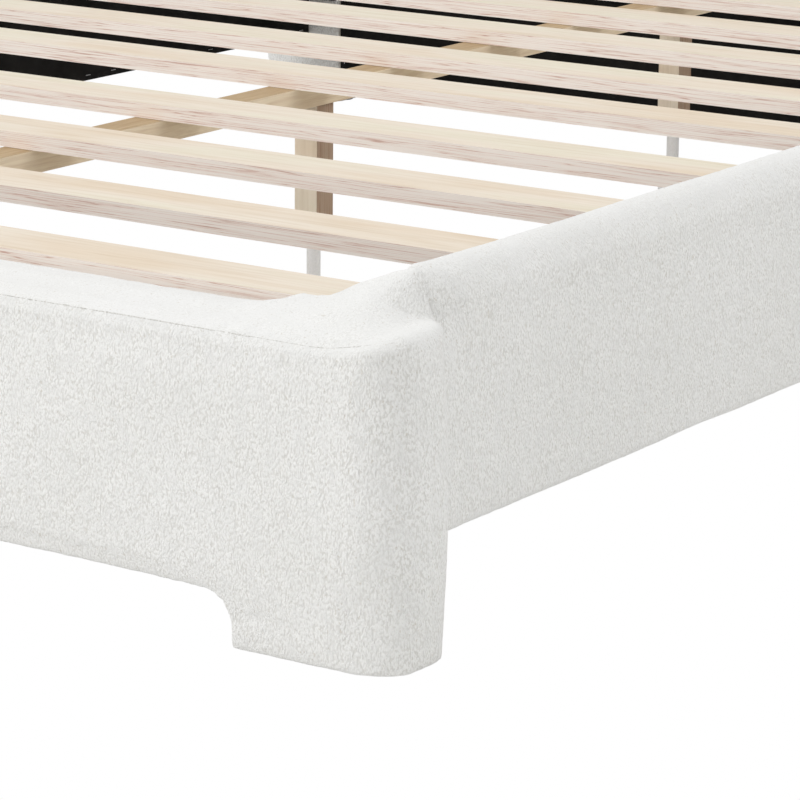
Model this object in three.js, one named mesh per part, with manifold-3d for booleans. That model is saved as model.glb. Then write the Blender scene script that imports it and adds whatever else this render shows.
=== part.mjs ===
// An upholstered bed: a thick headboard and footboard with legs of their own, two padded side
// rails, loose plywood slats on steel ledges, and a timber centre beam on three legs.
// Millimetres, +Z up, +X to the right seen from the foot, +Y from the foot to the head.
// The origin is on the floor, at the centre of the bed's footprint.
import * as THREE from "three";
import { mergeVertices } from "three/addons/utils/BufferGeometryUtils.js";
import Module from "manifold-3d";

const wasm = await Module();
wasm.setup();

// Driving dimensions. Places along Y are first given from the footboard's front face.
const GAP = 0.3; // clearance left between pieces that touch
const INNER_HALF_WIDTH = 770; // half the space between the side rails

const FOOT_HALF_WIDTH = 828;
const FOOT_DEPTH = 96;
const FOOT_TOP = 265;
const FOOT_CORNER_RISE = 18; // how far the padding swells over each leg
const FOOT_RISE_RUN = 44; // the width of the step up to that swelling
const FOOT_LEG_WIDTH = 163;

const HEAD_FACE = 2142; // the headboard's front face
const HEAD_HALF_WIDTH = 874;
const HEAD_DEPTH = 110;
const HEAD_TOP = 1050;
const HEAD_LEG_WIDTH = 159;
const HEAD_TOP_RADIUS = 260;
const HEAD_FOOT_RADIUS = 110;
const HEAD_LINING_TOP = 330;

const PANEL_UNDERSIDE = 48; // the arch between the legs of the headboard and footboard
const ARCH_RADIUS = 28;
const COVER_BOTTOM = 3; // the covers end this far above the floor, on glides
const PADDING = 22; // cover and foam over the timber frame
const LINING = 2;
const LINING_INSET = 1; // the linings lie this far below the face of the cover
const CUT_PAST = 5; // cuts run this far out past the face they open
const WELD = 1; // joined solids share this much

const RAIL_OUTER = 814;
const RAIL_BOTTOM = 102;
const RAIL_TOP = 317;
const RAIL_CREST_RADIUS = 20;
const RAIL_BOARD = 22;
const RAIL_BOARD_TOP = 296;
const RAIL_WRAP = 6; // the cover's thickness under the board
const RAIL_LOWER_RADIUS = 9;

const SLAT = { count: 10, width: 70, thickness: 16, top: 270, first: 116, pitch: 210 };
const SLAT_END_CLEARANCE = 4;
const SLAT_SHIFTS = [0, 3, 10, 13, 43, 22, 21, 1, 0, 0]; // loose slats, not evenly spread

const BEAM = { width: 38, height: 23.6 };
const LEG = { x: 30, y: 32, at: [245, 1061, 1877] };
const LEG_FOOT = { radius: 8, height: 90, base: 18, baseHeight: 6 }; // plastic, under each timber leg
const LEG_STUD = { radius: 4, reach: 16 };
const LEDGE = { flange: 30, thickness: 3 };
const BRACKET = { arm: 60, flange: 48, thickness: 3, low: 155, high: 220 };
const BRACKET_BOLTS = [172, 203]; // heights of the two bolts at each corner
const BOLT = { radius: 4, head: 7, headHeight: 5, length: 42 };
const HANGER = { length: 40, thickness: 2.5, side: 18, plate: 38 };
const GLIDE_RADIUS = 16;

const TOTAL_LENGTH = HEAD_FACE + HEAD_DEPTH;
const SLAT_BOTTOM = SLAT.top - SLAT.thickness;
const LEDGE_TOP = SLAT_BOTTOM - GAP;
const BEAM_TOP = SLAT_BOTTOM - GAP;
const BEAM_BOTTOM = BEAM_TOP - BEAM.height;
const FAR_BELOW = -50; // a cut that runs out through the bottom of a leg starts here
const ROUND_SIDES = 16;

// Materials.
function material(color, roughness, metalness = 0) {
  return new THREE.MeshStandardMaterial({ color, roughness, metalness });
}
const boucle = () => material(0xecebe8, 0.95);
const lining = () => material(0x181614, 0.9);
const pine = () => material(0xb59a74, 0.75);
const plywood = () => material(0xe8dcc8, 0.7);
const steel = () => material(0x26272a, 0.5, 0.8);
const zinc = () => material(0xb9bcc0, 0.35, 0.9);
const plastic = () => material(0x2b2a29, 0.6);
const whitePlastic = () => material(0xf2f2ef, 0.5);

// Solids.
function toSolid(geometry) {
  const bare = geometry.clone();
  bare.deleteAttribute("normal");
  bare.deleteAttribute("uv");
  const merged = mergeVertices(bare, 1e-4);
  return new wasm.Manifold(
    new wasm.Mesh({
      numProp: 3,
      vertProperties: new Float32Array(merged.attributes.position.array),
      triVerts: new Uint32Array(merged.index.array),
    }),
  );
}

function toGeometry(solid) {
  const mesh = solid.getMesh();
  const geometry = new THREE.BufferGeometry();
  geometry.setAttribute("position", new THREE.BufferAttribute(mesh.vertProperties, 3));
  geometry.setIndex(new THREE.BufferAttribute(mesh.triVerts, 1));
  return geometry;
}

function boxFrom(low, high) {
  const size = high.map((value, i) => value - low[i]);
  const middle = high.map((value, i) => (value + low[i]) / 2);
  return new THREE.BoxGeometry(...size).translate(...middle);
}

function extrudeUp(shape, z0, z1, curveSegments = ROUND_SIDES) {
  const options = { depth: z1 - z0, bevelEnabled: false, curveSegments };
  return new THREE.ExtrudeGeometry(shape, options).translate(0, 0, z0);
}

// Extrudes a shape drawn in X and Z along Y, from y0 to y1.
function extrudeBack(shape, y0, y1, curveSegments = ROUND_SIDES) {
  const options = { depth: y1 - y0, bevelEnabled: false, curveSegments };
  return new THREE.ExtrudeGeometry(shape, options).rotateX(Math.PI / 2).translate(0, y1, 0);
}

function cylinderUp(radius, x, y, z0, z1) {
  return new THREE.CylinderGeometry(radius, radius, z1 - z0, ROUND_SIDES)
    .rotateX(Math.PI / 2)
    .translate(x, y, (z0 + z1) / 2);
}

function cylinderBack(radius, x, z, y0, y1) {
  return new THREE.CylinderGeometry(radius, radius, y1 - y0, ROUND_SIDES).translate(
    x,
    (y0 + y1) / 2,
    z,
  );
}

const bed = new THREE.Group();
bed.position.y = -TOTAL_LENGTH / 2;

function piece(name, shape, finish) {
  const geometry = shape.isBufferGeometry ? shape : toGeometry(shape);
  const mesh = new THREE.Mesh(geometry, finish);
  mesh.name = name;
  bed.add(mesh);
}

// Outlines in X and Z of a panel that stands on two legs, with an arch between them. The cover's
// outline has inset 0, and the timber frame's is the same outline moved in by the padding.
function panelOutline(panel, inset, bottom) {
  const side = panel.halfWidth - (inset ? panel.endPadding - PADDING + inset : 0);
  const top = panel.top - inset;
  const legInner = panel.halfWidth - panel.legWidth + inset;
  const underside = PANEL_UNDERSIDE + inset;
  const topRadius = Math.max(panel.topRadius - inset, 2);
  const footRadius = Math.max(panel.footRadius - inset, 2);
  const footCentre = COVER_BOTTOM + panel.footRadius;
  const shape = new THREE.Shape();
  shape.moveTo(-legInner, bottom);
  shape.lineTo(-legInner, underside - ARCH_RADIUS);
  shape.absarc(-legInner + ARCH_RADIUS, underside - ARCH_RADIUS, ARCH_RADIUS, Math.PI, Math.PI / 2, true);
  shape.lineTo(legInner - ARCH_RADIUS, underside);
  shape.absarc(legInner - ARCH_RADIUS, underside - ARCH_RADIUS, ARCH_RADIUS, Math.PI / 2, 0, true);
  shape.lineTo(legInner, bottom);
  shape.lineTo(side - footRadius, bottom);
  shape.lineTo(side - footRadius, footCentre - footRadius);
  shape.absarc(side - footRadius, footCentre, footRadius, -Math.PI / 2, 0, false);
  const rise = panel.cornerRise;
  shape.lineTo(side, top + rise - topRadius);
  shape.absarc(side - topRadius, top + rise - topRadius, topRadius, 0, Math.PI / 2, false);
  if (rise) {
    riseTo(shape, panel.halfWidth - panel.legWidth, 1, top, rise);
    riseTo(shape, panel.halfWidth - panel.legWidth, -1, top, rise);
  }
  shape.absarc(-side + topRadius, top + rise - topRadius, topRadius, Math.PI / 2, Math.PI, false);
  shape.lineTo(-side, footCentre);
  shape.absarc(-side + footRadius, footCentre, footRadius, Math.PI, (3 * Math.PI) / 2, false);
  shape.lineTo(-side + footRadius, bottom);
  shape.closePath();
  return shape;
}

// The soft step in a top edge where the padding swells over a leg.
function riseTo(shape, at, sign, top, rise) {
  const halfRun = FOOT_RISE_RUN / 2;
  const near = [sign * (at + halfRun), top + rise];
  const far = [sign * (at - halfRun), top];
  const [from, to] = sign > 0 ? [near, far] : [far, near];
  shape.lineTo(...from);
  shape.bezierCurveTo(sign * at, from[1], sign * at, to[1], to[0], to[1]);
}

// A plan outline with full round ends.
function pillPlan(halfWidth, y0, y1) {
  const radius = (y1 - y0) / 2;
  const middle = (y0 + y1) / 2;
  const shape = new THREE.Shape();
  shape.moveTo(-halfWidth + radius, y0);
  shape.lineTo(halfWidth - radius, y0);
  shape.absarc(halfWidth - radius, middle, radius, -Math.PI / 2, Math.PI / 2, false);
  shape.lineTo(-halfWidth + radius, y1);
  shape.absarc(-halfWidth + radius, middle, radius, Math.PI / 2, (3 * Math.PI) / 2, false);
  shape.closePath();
  return shape;
}

// A window is a box in X and Z cut through one face of a cover, filled flush by a web of the
// timber frame and by the lining that is stapled over it.
function windowBox(opening, grow, y0, y1) {
  const low = [-opening.halfWidth - grow, y0, opening.low - grow];
  const high = [opening.halfWidth + grow, y1, opening.high + grow];
  return boxFrom(low, high);
}

// A padded panel: cover, timber frame and linings. Returns the cover and frame, to be drilled.
function paddedPanel(panel) {
  const { y0, y1 } = panel;
  const plan = toSolid(extrudeUp(pillPlan(panel.halfWidth, y0, y1), FAR_BELOW, panel.top + 100));
  const outer = toSolid(extrudeBack(panelOutline(panel, 0, COVER_BOTTOM), y0 - 10, y1 + 10));
  const frameFrom = y0 + panel.frontPadding;
  const frameTo = y1 - panel.backPadding;
  let frame = toSolid(extrudeBack(panelOutline(panel, PADDING, COVER_BOTTOM), frameFrom, frameTo));
  const pocket = toSolid(
    extrudeBack(panelOutline(panel, PADDING - GAP, FAR_BELOW), frameFrom - GAP, frameTo + GAP),
  );
  let cover = plan.intersect(outer).subtract(pocket);
  for (const opening of panel.windows) {
    const front = opening.face === "front";
    const face = front ? y0 : y1;
    const inward = front ? 1 : -1;
    const frameFace = front ? frameFrom : frameTo;
    const skinBack = LINING_INSET + LINING;
    const web = [face + inward * (skinBack + GAP), frameFace + inward * WELD];
    const cut = [face - inward * CUT_PAST, frameFace + inward * (WELD + GAP)];
    const skin = [face + inward * LINING_INSET, face + inward * skinBack];
    cover = cover.subtract(toSolid(windowBox(opening, GAP, Math.min(...cut), Math.max(...cut))));
    frame = frame.add(toSolid(windowBox(opening, 0, Math.min(...web), Math.max(...web))));
    piece(opening.lining, windowBox(opening, 0, Math.min(...skin), Math.max(...skin)), lining());
  }
  return { cover, frame };
}

// Corners: a steel angle joins each rail to the headboard or footboard with two bolts.
function eachCorner(visit) {
  for (const [end, face, towards] of [["foot", FOOT_DEPTH, 1], ["head", HEAD_FACE, -1]]) {
    for (const [side, sign] of [["left", -1], ["right", 1]]) visit({ end, face, towards, side, sign });
  }
}

function boltX(sign) {
  return sign * (INNER_HALF_WIDTH - BRACKET.flange / 2 - BRACKET.thickness);
}

function drillCorners(solid, end) {
  let drilled = solid;
  eachCorner((corner) => {
    if (corner.end !== end) return;
    for (const z of BRACKET_BOLTS) {
      const into = corner.face - corner.towards * (BOLT.length + 2);
      const out = corner.face + corner.towards;
      const span = [Math.min(into, out), Math.max(into, out)];
      const hole = cylinderBack(BOLT.radius + GAP, boltX(corner.sign), z, ...span);
      drilled = drilled.subtract(toSolid(hole));
    }
  });
  return drilled;
}

function cornerHardware() {
  eachCorner(({ end, face, towards, side, sign }) => {
    const wall = face + towards * GAP;
    const railFace = sign * (INNER_HALF_WIDTH - GAP);
    const inwards = -sign;
    const span = (a, b) => [Math.min(a, b), Math.max(a, b)];
    const [armX0, armX1] = span(railFace, railFace + inwards * BRACKET.thickness);
    const [armY0, armY1] = span(wall, wall + towards * BRACKET.arm);
    const [flangeX0, flangeX1] = span(railFace, railFace + inwards * BRACKET.flange);
    const [flangeY0, flangeY1] = span(wall, wall + towards * BRACKET.thickness);
    const arm = boxFrom([armX0, armY0, BRACKET.low], [armX1, armY1, BRACKET.high]);
    const flange = boxFrom([flangeX0, flangeY0, BRACKET.low], [flangeX1, flangeY1, BRACKET.high]);
    let bracket = toSolid(arm).add(toSolid(flange));
    BRACKET_BOLTS.forEach((z, index) => {
      const x = boltX(sign);
      const hole = cylinderBack(BOLT.radius + GAP, x, z, flangeY0 - 1, flangeY1 + 1);
      bracket = bracket.subtract(toSolid(hole));
      const headFrom = wall + towards * (BRACKET.thickness + GAP);
      const head = span(headFrom, headFrom + towards * BOLT.headHeight);
      const shank = span(headFrom, wall - towards * BOLT.length);
      const bolt = toSolid(cylinderBack(BOLT.head, x, z, ...head)).add(
        toSolid(cylinderBack(BOLT.radius, x, z, shank[0], shank[1])),
      );
      piece(`corner_bolt_${end}_${side}_${index + 1}`, bolt, zinc());
    });
    piece(`corner_bracket_${end}_${side}`, bracket, steel());
  });
}

function footboard() {
  const panel = {
    halfWidth: FOOT_HALF_WIDTH,
    legWidth: FOOT_LEG_WIDTH,
    top: FOOT_TOP,
    topRadius: 18,
    footRadius: 10,
    cornerRise: FOOT_CORNER_RISE,
    endPadding: FOOT_DEPTH / 2,
    frontPadding: PADDING,
    backPadding: 14,
    y0: 0,
    y1: FOOT_DEPTH,
    windows: [
      {
        face: "back",
        lining: "footboard_lining",
        halfWidth: FOOT_HALF_WIDTH - FOOT_LEG_WIDTH - ARCH_RADIUS,
        low: PANEL_UNDERSIDE + PADDING,
        high: FOOT_TOP - PADDING - 18,
      },
    ],
  };
  const { cover, frame } = paddedPanel(panel);
  piece("footboard_cover", drillCorners(cover, "foot"), boucle());
  piece("footboard_frame", drillCorners(frame, "foot"), pine());
}

function headboard() {
  const panel = {
    halfWidth: HEAD_HALF_WIDTH,
    legWidth: HEAD_LEG_WIDTH,
    top: HEAD_TOP,
    topRadius: HEAD_TOP_RADIUS,
    footRadius: HEAD_FOOT_RADIUS,
    cornerRise: 0,
    endPadding: PADDING,
    frontPadding: PADDING,
    backPadding: 18,
    y0: HEAD_FACE,
    y1: TOTAL_LENGTH,
    windows: [
      {
        face: "front",
        lining: "headboard_front_lining",
        halfWidth: HEAD_HALF_WIDTH - HEAD_LEG_WIDTH - GAP,
        low: PANEL_UNDERSIDE,
        high: HEAD_LINING_TOP,
      },
      {
        face: "back",
        lining: "headboard_dust_cover",
        halfWidth: HEAD_HALF_WIDTH - HEAD_TOP_RADIUS / 2,
        low: PANEL_UNDERSIDE + PADDING,
        high: HEAD_TOP - HEAD_TOP_RADIUS / 2,
      },
    ],
  };
  const { cover, frame } = paddedPanel(panel);
  piece("headboard_cover", drillCorners(cover, "head"), boucle());
  piece("headboard_frame", drillCorners(frame, "head"), pine());
}

// The right rail's cover in X and Z: padding round the outside, top and underside of the board,
// open on the inner face, where the lining covers the board.
function railCoverOutline() {
  const boardFrom = INNER_HALF_WIDTH + LINING;
  const boardTo = boardFrom + RAIL_BOARD + GAP;
  const bottomRadius = RAIL_LOWER_RADIUS;
  const shape = new THREE.Shape();
  shape.moveTo(boardFrom, RAIL_BOTTOM);
  shape.lineTo(RAIL_OUTER - bottomRadius, RAIL_BOTTOM);
  shape.absarc(RAIL_OUTER - bottomRadius, RAIL_BOTTOM + bottomRadius, bottomRadius, -Math.PI / 2, 0, false);
  shape.lineTo(RAIL_OUTER, RAIL_TOP - RAIL_CREST_RADIUS);
  shape.absarc(
    RAIL_OUTER - RAIL_CREST_RADIUS,
    RAIL_TOP - RAIL_CREST_RADIUS,
    RAIL_CREST_RADIUS,
    0,
    Math.PI / 2,
    false,
  );
  shape.lineTo(INNER_HALF_WIDTH + RAIL_CREST_RADIUS, RAIL_TOP);
  shape.absarc(
    INNER_HALF_WIDTH + RAIL_CREST_RADIUS,
    RAIL_TOP - RAIL_CREST_RADIUS,
    RAIL_CREST_RADIUS,
    Math.PI / 2,
    Math.PI,
    false,
  );
  shape.lineTo(INNER_HALF_WIDTH, RAIL_BOARD_TOP + GAP);
  shape.lineTo(boardTo, RAIL_BOARD_TOP + GAP);
  shape.lineTo(boardTo, RAIL_BOTTOM + RAIL_WRAP);
  shape.lineTo(boardFrom, RAIL_BOTTOM + RAIL_WRAP);
  shape.closePath();
  return shape;
}

function sideRails() {
  const from = FOOT_DEPTH + GAP;
  const to = HEAD_FACE - GAP;
  const boardFrom = INNER_HALF_WIDTH + LINING;
  const ledgeTurn = INNER_HALF_WIDTH - GAP;
  for (const [side, sign] of [["left", -1], ["right", 1]]) {
    // A box along the whole rail, between two distances out from the bed's centre line.
    const place = (x0, x1, z0, z1) => {
      const xs = [sign * x0, sign * x1].sort((a, b) => a - b);
      return boxFrom([xs[0], from, z0], [xs[1], to, z1]);
    };
    let cover = toSolid(extrudeBack(railCoverOutline(), from, to));
    if (sign < 0) cover = cover.mirror([1, 0, 0]);
    piece(`side_rail_cover_${side}`, cover, boucle());
    const boardBottom = RAIL_BOTTOM + RAIL_WRAP + GAP;
    const board = place(boardFrom + GAP, boardFrom + RAIL_BOARD, boardBottom, RAIL_BOARD_TOP);
    piece(`side_rail_board_${side}`, board, pine());
    const skin = place(INNER_HALF_WIDTH, boardFrom - GAP, RAIL_BOTTOM, RAIL_BOARD_TOP);
    piece(`side_rail_lining_${side}`, skin, lining());
    const shelf = place(ledgeTurn - LEDGE.flange, ledgeTurn, LEDGE_TOP - LEDGE.thickness, LEDGE_TOP);
    const web = place(ledgeTurn - LEDGE.thickness, ledgeTurn, LEDGE_TOP - LEDGE.flange, LEDGE_TOP);
    piece(`slat_ledge_${side}`, toSolid(shelf).add(toSolid(web)), steel());
  }
}

function slats() {
  const half = INNER_HALF_WIDTH - SLAT_END_CLEARANCE;
  for (let i = 0; i < SLAT.count; i += 1) {
    const y = SLAT.first + i * SLAT.pitch + SLAT_SHIFTS[i];
    const slat = boxFrom([-half, y, SLAT_BOTTOM], [half, y + SLAT.width, SLAT.top]);
    piece(`slat_${String(i + 1).padStart(2, "0")}`, slat, plywood());
  }
}

// A steel U that holds one end of the centre beam, with a plate against the panel's face.
function beamHanger(face, towards) {
  const inner = BEAM.width / 2 + GAP;
  const outer = inner + HANGER.thickness;
  const floor = BEAM_BOTTOM - GAP;
  const wall = face + towards * GAP;
  const span = (length) => [wall, wall + towards * length].sort((a, b) => a - b);
  const [y0, y1] = span(HANGER.length);
  const [plateFrom, plateTo] = span(HANGER.thickness);
  const plate = boxFrom(
    [-HANGER.plate, plateFrom, floor - HANGER.side],
    [HANGER.plate, plateTo, floor + HANGER.side],
  );
  const block = boxFrom([-outer, y0, floor - HANGER.thickness], [outer, y1, floor + HANGER.side]);
  const channel = boxFrom([-inner, y0 - 100, floor], [inner, y1 + 100, floor + 100]);
  return toSolid(plate).add(toSolid(block)).subtract(toSolid(channel));
}

function centreSupport() {
  const from = FOOT_DEPTH + 1;
  const to = HEAD_FACE - 1;
  const studTop = BEAM_BOTTOM + LEG_STUD.reach;
  const studFoot = BEAM_BOTTOM - 2 * LEG_STUD.reach;
  let beam = toSolid(boxFrom([-BEAM.width / 2, from, BEAM_BOTTOM], [BEAM.width / 2, to, BEAM_TOP]));
  LEG.at.forEach((y, index) => {
    const number = index + 1;
    const hole = toSolid(cylinderUp(LEG_STUD.radius + GAP, 0, y, studFoot - GAP, studTop + GAP));
    beam = beam.subtract(hole);
    const low = [-LEG.x / 2, y - LEG.y / 2, LEG_FOOT.height];
    const high = [LEG.x / 2, y + LEG.y / 2, BEAM_BOTTOM - GAP];
    piece(`centre_leg_${number}`, toSolid(boxFrom(low, high)).subtract(hole), pine());
    piece(`centre_leg_stud_${number}`, cylinderUp(LEG_STUD.radius, 0, y, studFoot, studTop), zinc());
    const foot = toSolid(cylinderUp(LEG_FOOT.radius, 0, y, 0, LEG_FOOT.height - GAP)).add(
      toSolid(cylinderUp(LEG_FOOT.base, 0, y, 0, LEG_FOOT.baseHeight)),
    );
    piece(`centre_leg_foot_${number}`, foot, whitePlastic());
  });
  piece("centre_beam", beam, pine());
  piece("beam_hanger_foot", beamHanger(FOOT_DEPTH, 1), steel());
  piece("beam_hanger_head", beamHanger(HEAD_FACE, -1), steel());
}

// The glides under the four outer legs stand on the floor and carry the timber frames.
function glides() {
  const footX = FOOT_HALF_WIDTH - FOOT_LEG_WIDTH / 2 - PADDING / 2;
  const headX = HEAD_HALF_WIDTH - HEAD_FOOT_RADIUS - GLIDE_RADIUS;
  const rows = [
    ["foot", footX, FOOT_DEPTH / 2],
    ["head", headX, HEAD_FACE + HEAD_DEPTH / 2],
  ];
  for (const [end, x, y] of rows) {
    for (const [side, sign] of [["left", -1], ["right", 1]]) {
      const glide = cylinderUp(GLIDE_RADIUS, sign * x, y, 0, COVER_BOTTOM - GAP);
      piece(`glide_${end}_${side}`, glide, plastic());
    }
  }
}

footboard();
headboard();
sideRails();
slats();
centreSupport();
cornerHardware();
glides();

export default bed;
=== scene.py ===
"""An upholstered bed in curly white fabric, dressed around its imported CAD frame.

The footboard and headboard covers are remeshed from the CAD covers, swollen by a cloth
simulation and then shaped: crowned faces, a top that swells over the legs, seams and curly pile.
The side rails are swept from their padded section. Timber, plywood, steel and plastic pieces
stay as CAD nodes with softened edges and finished materials.
"""

import math

import bmesh
import bpy
import numpy as np
from mathutils import Matrix, Vector
from mathutils.bvhtree import BVHTree
from mathutils.kdtree import KDTree


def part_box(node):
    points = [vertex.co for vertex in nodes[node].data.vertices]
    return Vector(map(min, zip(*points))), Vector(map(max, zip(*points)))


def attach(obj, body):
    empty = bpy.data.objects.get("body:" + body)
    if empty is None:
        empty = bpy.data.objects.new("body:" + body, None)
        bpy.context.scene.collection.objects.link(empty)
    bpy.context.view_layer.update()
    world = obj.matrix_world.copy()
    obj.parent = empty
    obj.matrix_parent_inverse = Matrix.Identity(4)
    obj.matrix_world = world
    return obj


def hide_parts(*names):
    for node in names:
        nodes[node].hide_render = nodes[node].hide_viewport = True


MM = 0.001
BODY = "root"
SEED = 11

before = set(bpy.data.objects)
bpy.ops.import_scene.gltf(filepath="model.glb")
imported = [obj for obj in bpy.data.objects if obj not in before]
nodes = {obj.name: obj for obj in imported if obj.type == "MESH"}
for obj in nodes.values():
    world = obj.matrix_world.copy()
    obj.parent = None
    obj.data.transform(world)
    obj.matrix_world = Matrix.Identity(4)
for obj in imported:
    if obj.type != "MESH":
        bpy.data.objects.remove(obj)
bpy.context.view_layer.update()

foot_low, foot_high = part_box("footboard_cover")
head_low, head_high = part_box("headboard_cover")
rail_low, rail_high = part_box("side_rail_cover_right")

FRONT = foot_low.y  # the footboard's front face
BACK_OF_FOOT = foot_high.y
FOOT_DEPTH = BACK_OF_FOOT - FRONT
FOOT_HALF = foot_high.x
FOOT_LEG = 163 * MM  # width of each leg
FOOT_CORNER_TOP = foot_high.z
FOOT_CORNER_RISE = 18 * MM  # how far the CAD cover's top stands higher over each leg
FOOT_MIDDLE_TOP = FOOT_CORNER_TOP - FOOT_CORNER_RISE
FOOT_CROWN = 3 * MM  # extra height along the middle of the top
FOOT_END_BULGE = 4 * MM
FOOT_SEAM_HEIGHT = 262 * MM
FOOT_SEAM_RISE = 11 * MM  # how far the seam climbs round each end
FOOT_SEAM_DEPTH = 2.2 * MM
FOOT_SEAM_WIDTH = 3.5 * MM
THREAD_RADIUS = 0.8 * MM
THREAD_INSET = 0.7 * MM
HEAD_FULLNESS = 7 * MM  # how far the headboard's face stands out in its middle
RAIL_NOSE = 18 * MM  # how far the rail's crest reaches over the footboard's top
RAIL_ROUND = 34 * MM  # how far back from the footboard the crest's rounded end starts
RAIL_NOSE_FOOT = 270 * MM  # height where the nose lands on the footboard's top
RAIL_BULGE = 1.5 * MM  # how far the outer face is full at mid height
RAIL_END_REACH = 90 * MM  # length over which the lower part leans to the footboard's round end
RAIL_NOSE_TURN = 1.5  # radians, nearly upright at the tip
RAIL_NOSE_RINGS = 9

CLOTH_PRESSURE = 4
CLOTH_FRAMES = 20

# Camera: where it stands, measured from the footboard's front face and the floor.
CAMERA_AT = Vector((2.32508, FRONT - 2.24388, 0.93082))
CAMERA_AZIMUTH = math.radians(33.72)
CAMERA_ELEVATION = math.radians(14.49)
CAMERA_ROLL = math.radians(0.58)
CAMERA_LENS = 164.49

# The white fabric's colours.
# The tones below go by loop height: the first is painted shade down between the loops, lighter
# towards the tips.
BOUCLE_SHADE = (0.775, 0.766, 0.738)
BOUCLE_WHITE = (0.93, 0.927, 0.91)
BOUCLE_TIP = (0.975, 0.973, 0.96)
# On tops this darker tone is painted shade for how the light falls there; elsewhere it marks
# patches where the pile is pressed.
BOUCLE_PRESSED_AND_TOP_SHADE = (0.875, 0.874, 0.862)  # where the pile is pressed, and on tops
BOUCLE_FLECK = (0.60, 0.55, 0.47)

# The slats' and legs' colours.
SLAT_FACE = ((0.76, 0.665, 0.54), (0.825, 0.745, 0.635), (0.87, 0.80, 0.705))
LEG_FACE = ((0.78, 0.68, 0.55), (0.86, 0.77, 0.64), (0.90, 0.82, 0.70))
PLY_EDGE = (0.92, 0.80, 0.715)
PLY_EDGE_PALE = (0.97, 0.885, 0.81)
PLY_EDGE_SHADE = (0.82, 0.65, 0.565)
PLY_GLUE = (0.66, 0.44, 0.37)
# Painted highlight along the rounded arrises of the slats and legs.
PLY_ARRIS_HIGHLIGHT = (0.93, 0.87, 0.80)


# ---------------------------------------------------------------- scene, camera and light


def make_camera():
    azimuth, elevation, roll = CAMERA_AZIMUTH, CAMERA_ELEVATION, CAMERA_ROLL
    back = Vector(
        (
            math.sin(azimuth) * math.cos(elevation),
            -math.cos(azimuth) * math.cos(elevation),
            math.sin(elevation),
        )
    )
    right = Vector((math.cos(azimuth), math.sin(azimuth), 0))
    up = back.cross(right)
    turned_right = right * math.cos(roll) + up * math.sin(roll)
    turned_up = up * math.cos(roll) - right * math.sin(roll)
    data = bpy.data.cameras.new("camera")
    data.lens = CAMERA_LENS
    data.sensor_width = 36
    data.clip_end = 100
    camera = bpy.data.objects.new("camera", data)
    axes = Matrix((turned_right, turned_up, back)).transposed()
    camera.matrix_world = Matrix.Translation(CAMERA_AT) @ axes.to_4x4()
    bpy.context.scene.collection.objects.link(camera)
    bpy.context.scene.camera = camera


def area_light(name, place, aim, size, power):
    data = bpy.data.lights.new(name, "AREA")
    data.shape = "SQUARE"
    data.size = size
    data.energy = power
    light = bpy.data.objects.new(name, data)
    light.location = place
    direction = Vector(aim) - Vector(place)
    light.rotation_euler = direction.to_track_quat("-Z", "Y").to_euler()
    bpy.context.scene.collection.objects.link(light)
    return light


def floor_plane(name, half_size, height):
    mesh = bpy.data.meshes.new(name)
    corners = [(-1, -1), (1, -1), (1, 1), (-1, 1)]
    points = [(x * half_size, y * half_size, height) for x, y in corners]
    mesh.from_pydata(points, [], [(0, 1, 2, 3)])
    plane = bpy.data.objects.new(name, mesh)
    bpy.context.scene.collection.objects.link(plane)
    return plane


def make_studio():
    """A white world, a soft key from the front left and above, and a pale floor. The floor that
    is seen is evenly white, and one just below it sends back less light, as a studio floor does."""
    scene = bpy.context.scene
    scene.view_settings.view_transform = "Standard"
    world = bpy.data.worlds.new("studio")
    world.use_nodes = True
    background = world.node_tree.nodes["Background"]
    background.inputs["Color"].default_value = (1, 1, 1, 1)
    background.inputs["Strength"].default_value = 0.75
    scene.world = world
    area_light("key", (-2.6, FRONT - 3.2, 3.4), (0, -0.6, 0.2), 2.4, 111)
    area_light("rim", (3.2, 1.2, 3.6), (0, -0.3, 0.2), 2.0, 38)

    seen = floor_plane("floor", 60, -0.4 * MM)
    white, _, shader = new_material("floor_white")
    shader.inputs["Base Color"].default_value = (0, 0, 0, 1)
    shader.inputs["Emission Color"].default_value = (1, 1, 1, 1)
    shader.inputs["Emission Strength"].default_value = 1.0
    shader.inputs["Specular IOR Level"].default_value = 0
    seen.data.materials.append(white)
    seen.visible_diffuse = False
    seen.visible_glossy = False
    seen.visible_shadow = False

    bounce = floor_plane("floor_bounce", 60, -0.8 * MM)
    pale, _, shader = new_material("floor_pale")
    shader.inputs["Base Color"].default_value = (0.86, 0.855, 0.84, 1)
    shader.inputs["Roughness"].default_value = 0.9
    bounce.data.materials.append(pale)
    bounce.visible_camera = False


# ---------------------------------------------------------------- materials


def new_material(name):
    material = bpy.data.materials.new(name)
    material.use_nodes = True
    tree = material.node_tree
    return material, tree, tree.nodes["Principled BSDF"]


def add(tree, kind, **settings):
    """A node whose settings are its properties or, where it has no such property, its inputs."""
    node = tree.nodes.new(kind)
    for key, value in settings.items():
        if hasattr(node, key):
            setattr(node, key, value)
        else:
            node.inputs[key.replace("_", " ")].default_value = value
    return node


def scaled_place(tree, scale):
    """Object coordinates, in metres, stretched by a scale for each axis."""
    place = add(tree, "ShaderNodeTexCoord")
    mapping = add(tree, "ShaderNodeMapping", Scale=scale)
    tree.links.new(place.outputs["Object"], mapping.inputs["Vector"])
    return mapping.outputs["Vector"]


def noise_at(tree, place, scale, detail=2.0, rough=0.5, distort=0.0):
    made = add(tree, "ShaderNodeTexNoise", Scale=scale, Detail=detail, Roughness=rough)
    made.inputs["Distortion"].default_value = distort
    tree.links.new(place, made.inputs["Vector"])
    return made.outputs["Fac"]


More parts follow.
